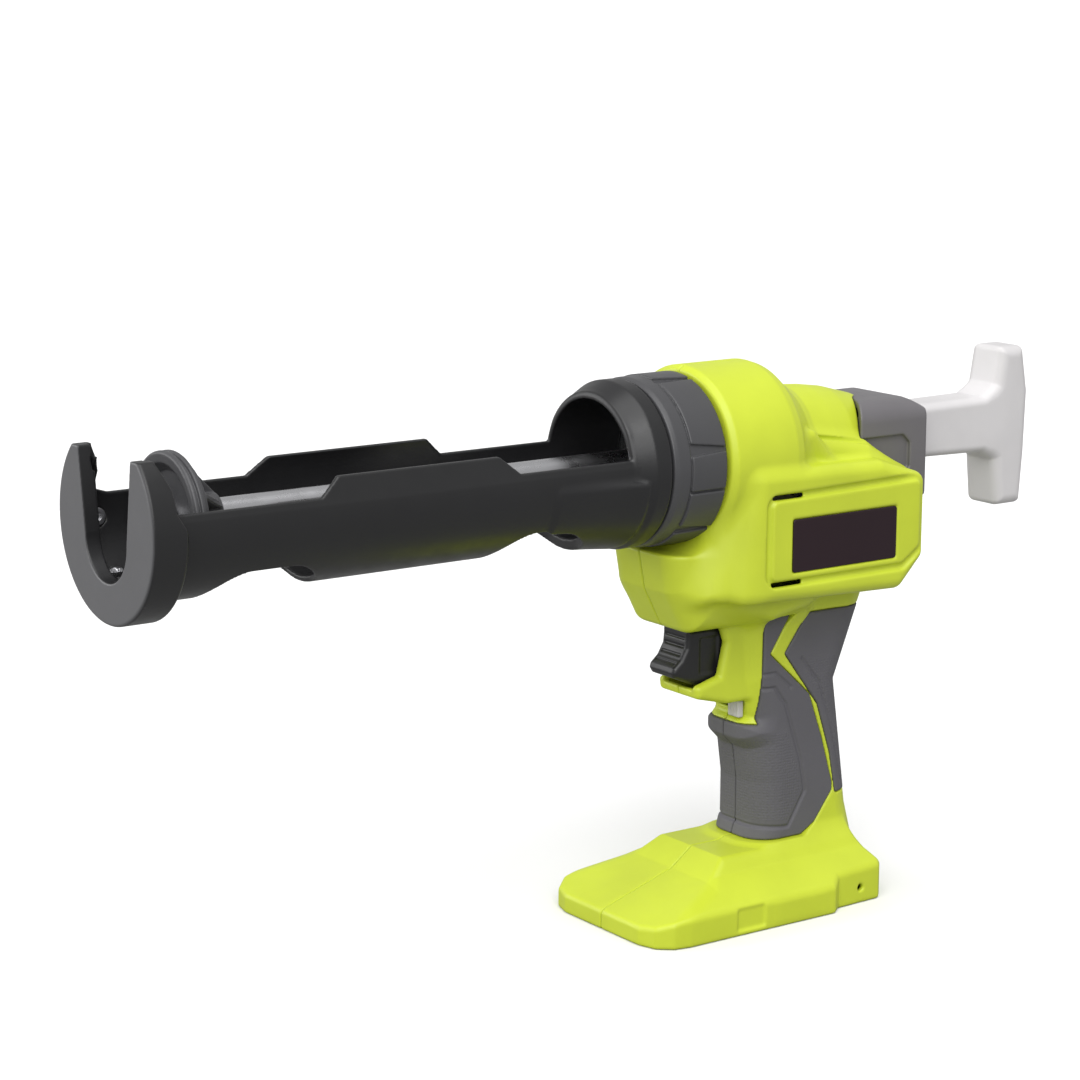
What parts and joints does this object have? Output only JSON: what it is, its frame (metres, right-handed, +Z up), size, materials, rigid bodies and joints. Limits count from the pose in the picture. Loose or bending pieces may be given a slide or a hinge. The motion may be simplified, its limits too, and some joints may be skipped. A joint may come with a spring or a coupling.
{
  "type": "caulking gun",
  "caption": "Cordless caulking gun: open half-tube cartridge bay, slotted front cap, toothed push rod with pull handle, pistol grip and battery foot.",
  "frame": {"origin": "middle of the bounding box in plan, on the plane the battery foot stands on", "axes": "+X from the front cap towards the pull handle, +Y to the right-hand side seen from behind the tool, +Z up"},
  "size_m": [0.425, 0.076, 0.2205],
  "materials": {
    "lime_shell": "fine moulded texture",
    "grip_rubber": "soft matte overmould",
    "cover_grey": "satin",
    "black_moulding": "satin",
    "collar_grey": "satin",
    "handle_grey": "satin",
    "bright_steel": "polished",
    "label_dark": "gloss",
    "button_grey": "satin",
    "nylon": "satin",
    "motor_steel": "satin",
    "board_green": "satin",
    "contact_brass": "satin"
  },
  "bodies": {
    "housing": {"housing_left": "lime_shell", "housing_right": "lime_shell", "grip_front_left": "grip_rubber", "grip_front_right": "grip_rubber", "grip_rear_left": "grip_rubber", "grip_rear_right": "grip_rubber", "rear_cover": "cover_grey", "label_plate_left": "label_dark", "label_plate_right": "label_dark", "barrel_mount": "bright_steel", "rod_bush_front": "nylon", "rod_bush_rear": "nylon", "switch_body": "black_moulding", "trigger_spring": "bright_steel", "motor_can": "motor_steel", "gear_frame": "nylon", "circuit_board": "board_green", "terminal_block": "black_moulding", "battery_contact_1": "contact_brass", "battery_contact_2": "contact_brass", "battery_contact_3": "contact_brass", "housing_screw_1": "bright_steel", "housing_screw_2": "bright_steel", "housing_screw_3": "bright_steel", "housing_screw_4": "bright_steel", "housing_screw_5": "bright_steel", "housing_screw_6": "bright_steel"},
    "carriage": {"carriage_trough": "black_moulding", "front_retainer": "black_moulding", "retainer_screw_1": "bright_steel", "retainer_screw_2": "bright_steel", "retainer_screw_3": "bright_steel", "retainer_screw_4": "bright_steel"},
    "collar": {"locking_collar": "collar_grey"},
    "push_rod": {"rack_rod": "bright_steel", "piston": "collar_grey", "piston_screw": "bright_steel", "pull_handle": "handle_grey"},
    "trigger": {"trigger": "black_moulding"},
    "lock_slide": {"lock_slide": "button_grey"},
    "speed_dial": {"speed_dial": "collar_grey"},
    "drive_gear": {"drive_gear": "bright_steel"},
    "idler_gear": {"idler_gear": "bright_steel"},
    "motor_rotor": {"motor_shaft": "bright_steel"}
  },
  "joints": [
    {"name": "rod_slide", "type": "slide", "parent": "housing", "child": "push_rod", "axis": [1, 0, 0], "range_m": [0, 0.2]},
    {"name": "drive_spin", "type": "hinge", "parent": "housing", "child": "drive_gear", "pos_m": [0.0595, 0, 0.17305], "axis": [0, 1, 0], "range_deg": [0, 1310]},
    {"name": "idler_spin", "type": "hinge", "parent": "housing", "child": "idler_gear", "pos_m": [0.07988, 0, 0.15651], "axis": [0, 1, 0], "range_deg": [-3275, 0]},
    {"name": "motor_spin", "type": "hinge", "parent": "housing", "child": "motor_rotor", "pos_m": [0.1035, 0, 0.154], "axis": [0, 1, 0], "range_deg": [0, 9170]},
    {"name": "trigger_pull", "type": "slide", "parent": "housing", "child": "trigger", "axis": [1, 0, 0], "range_m": [0, 0.006], "stiffness_N_per_m": 1200, "springref_m": -0.002, "deforming": ["trigger_spring"]},
    {"name": "lock_slide_move", "type": "slide", "parent": "housing", "child": "lock_slide", "axis": [0, 1, 0], "range_m": [0, 0.006]},
    {"name": "collar_turn", "type": "hinge", "parent": "housing", "child": "collar", "pos_m": [0.0205, 0, 0.185], "axis": [1, 0, 0], "range_deg": [0, 60]},
    {"name": "carriage_swivel", "type": "hinge", "parent": "housing", "child": "carriage", "pos_m": [-0.1125, 0, 0.185], "axis": [1, 0, 0], "continuous": true},
    {"name": "dial_turn", "type": "hinge", "parent": "housing", "child": "speed_dial", "pos_m": [0.0915, 0.024, 0.1895], "axis": [0, 1, 0], "range_deg": [0, 270]}
  ],
  "couplings": [
    {"joint": "drive_spin", "follows": "rod_slide", "rad_per_m": 114.29},
    {"joint": "idler_spin", "follows": "rod_slide", "rad_per_m": -285.71},
    {"joint": "motor_spin", "follows": "rod_slide", "rad_per_m": 800}
  ]
}
